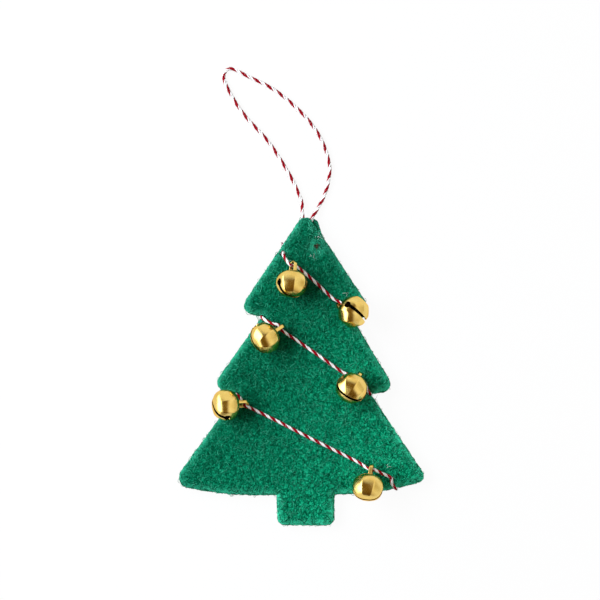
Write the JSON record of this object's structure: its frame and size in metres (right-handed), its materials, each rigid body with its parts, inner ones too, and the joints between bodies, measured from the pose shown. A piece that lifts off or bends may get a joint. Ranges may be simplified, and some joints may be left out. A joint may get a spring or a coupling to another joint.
{
  "type": "christmas tree ornament",
  "caption": "Flat felt Christmas tree with a wound garland of striped twine, small brass jingle bells and a twine hanging loop.",
  "frame": {"origin": "on the back face of the felt, midway up the tree and near its middle", "axes": "+X to the right and +Y to the treetop as seen from the front, +Z out of the front; the tree lies on its back"},
  "size_m": [0.0981, 0.1836, 0.0178],
  "materials": {
    "felt": "thick green felt, matt, with short loose fibres",
    "twine": "twisted cotton twine in red and white plies, matt and a little hairy",
    "brass": "polished brass plate, bright",
    "steel": "plain steel ball"
  },
  "bodies": {
    "tree": {"felt_front_layer": "felt", "felt_back_layer": "felt", "garland_twine": "twine", "hanging_loop": "twine", "loop_knot": "twine"},
    "bell_1": {"bell_1_shell": "brass", "bell_1_eyelet": "brass"},
    "bell_2": {"bell_2_shell": "brass", "bell_2_eyelet": "brass"},
    "bell_3": {"bell_3_shell": "brass", "bell_3_eyelet": "brass"},
    "bell_4": {"bell_4_shell": "brass", "bell_4_eyelet": "brass"},
    "bell_5": {"bell_5_shell": "brass", "bell_5_eyelet": "brass"},
    "bell_6": {"bell_6_shell": "brass", "bell_6_eyelet": "brass"},
    "pellet_1": {"bell_1_pellet": "steel"},
    "pellet_2": {"bell_2_pellet": "steel"},
    "pellet_3": {"bell_3_pellet": "steel"},
    "pellet_4": {"bell_4_pellet": "steel"},
    "pellet_5": {"bell_5_pellet": "steel"},
    "pellet_6": {"bell_6_pellet": "steel"}
  },
  "joints": [
    {"name": "bell_1_swing", "type": "hinge", "parent": "tree", "child": "bell_1", "pos_m": [-0.00294, 0.04212, 0.00875], "axis": [-0.8327, 0.2486, 0.4947], "range_deg": [0, 130]},
    {"name": "bell_2_swing", "type": "hinge", "parent": "tree", "child": "bell_2", "pos_m": [0.01637, 0.02603, 0.00578], "axis": [0.0117, -0.9171, -0.3984], "range_deg": [0, 76]},
    {"name": "bell_3_swing", "type": "hinge", "parent": "tree", "child": "bell_3", "pos_m": [-0.00813, 0.01731, 0.00875], "axis": [-0.5592, 0.829, 0], "range_deg": [0, 135]},
    {"name": "bell_4_swing", "type": "hinge", "parent": "tree", "child": "bell_4", "pos_m": [0.02323, -0.00221, 0.00578], "axis": [-0.8387, 0.5446, 0], "range_deg": [0, 86]},
    {"name": "bell_5_swing", "type": "hinge", "parent": "tree", "child": "bell_5", "pos_m": [-0.02254, -0.01302, 0.00875], "axis": [-0.2388, 0.8273, -0.5085], "range_deg": [0, 128]},
    {"name": "bell_6_swing", "type": "hinge", "parent": "tree", "child": "bell_6", "pos_m": [0.02822, -0.03905, 0.00875], "axis": [-0.9786, 0.1268, -0.1621], "range_deg": [0, 135]},
    {"name": "pellet_1_rattle", "type": "slide", "parent": "bell_1", "child": "pellet_1", "axis": [0, 0, 1], "range_m": [0, 0.0075]},
    {"name": "pellet_2_rattle", "type": "slide", "parent": "bell_2", "child": "pellet_2", "axis": [0, 0, 1], "range_m": [0, 0.0067]},
    {"name": "pellet_3_rattle", "type": "slide", "parent": "bell_3", "child": "pellet_3", "axis": [0, 0, 1], "range_m": [0, 0.0075]},
    {"name": "pellet_4_rattle", "type": "slide", "parent": "bell_4", "child": "pellet_4", "axis": [0, 0, 1], "range_m": [0, 0.0067]},
    {"name": "pellet_5_rattle", "type": "slide", "parent": "bell_5", "child": "pellet_5", "axis": [0, 0, 1], "range_m": [0, 0.0075]},
    {"name": "pellet_6_rattle", "type": "slide", "parent": "bell_6", "child": "pellet_6", "axis": [0, 0, 1], "range_m": [0, 0.0075]}
  ]
}
